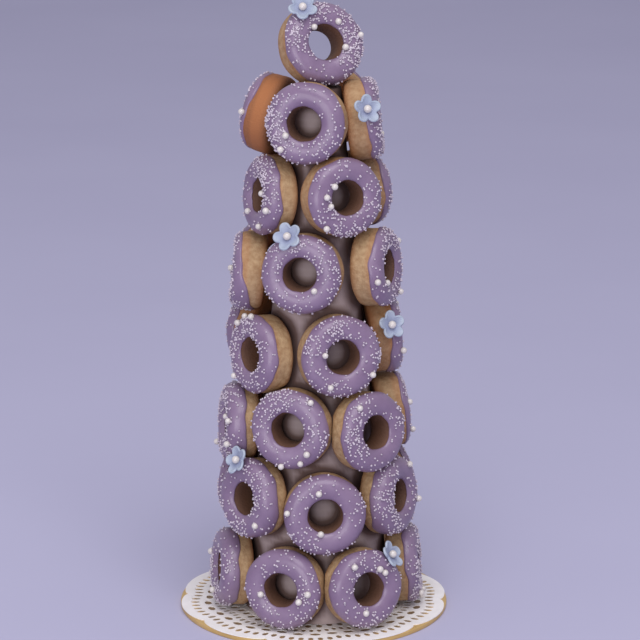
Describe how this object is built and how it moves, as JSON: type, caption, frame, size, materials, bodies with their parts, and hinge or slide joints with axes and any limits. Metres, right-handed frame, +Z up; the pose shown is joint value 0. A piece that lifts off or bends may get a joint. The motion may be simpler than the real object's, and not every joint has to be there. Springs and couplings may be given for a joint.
{
  "type": "mini doughnut tower",
  "caption": "Festive tower of lilac-iced mini doughnuts set round a slim white cone, with sugar blossoms and pearls, on a paper lace doily and a round gold card.",
  "frame": {"origin": "middle of the card's underside", "axes": "+Z up, -Y towards the viewer, +X to the viewer's right"},
  "size_m": [0.1524, 0.1528, 0.3509],
  "materials": {
    "card": "gold foil",
    "doily": "matte",
    "cone": "matte foam",
    "doughnut": "satin icing over baked dough",
    "blossom": "matte sugar paste"
  },
  "bodies": {
    "root": {"card": "card", "doily": "doily", "cone": "cone", "doughnut_1_1": "doughnut", "doughnut_1_2": "doughnut", "doughnut_1_3": "doughnut", "doughnut_1_4": "doughnut", "doughnut_1_5": "doughnut", "doughnut_1_6": "doughnut", "doughnut_2_1": "doughnut", "doughnut_2_2": "doughnut", "doughnut_2_3": "doughnut", "doughnut_2_4": "doughnut", "doughnut_2_5": "doughnut", "doughnut_2_6": "doughnut", "doughnut_3_1": "doughnut", "doughnut_3_2": "doughnut", "doughnut_3_3": "doughnut", "doughnut_3_4": "doughnut", "doughnut_3_5": "doughnut", "doughnut_3_6": "doughnut", "doughnut_4_1": "doughnut", "doughnut_4_2": "doughnut", "doughnut_4_3": "doughnut", "doughnut_4_4": "doughnut", "doughnut_4_5": "doughnut", "doughnut_5_1": "doughnut", "doughnut_5_2": "doughnut", "doughnut_5_3": "doughnut", "doughnut_5_4": "doughnut", "doughnut_5_5": "doughnut", "doughnut_6_1": "doughnut", "doughnut_6_2": "doughnut", "doughnut_6_3": "doughnut", "doughnut_6_4": "doughnut", "doughnut_7_1": "doughnut", "doughnut_7_2": "doughnut", "doughnut_7_3": "doughnut", "doughnut_7_4": "doughnut", "doughnut_top": "doughnut", "blossom_1": "blossom", "blossom_10": "blossom", "blossom_2": "blossom", "blossom_3": "blossom", "blossom_4": "blossom", "blossom_5": "blossom", "blossom_6": "blossom", "blossom_7": "blossom", "blossom_8": "blossom", "blossom_9": "blossom"}
  },
  "joints": []
}
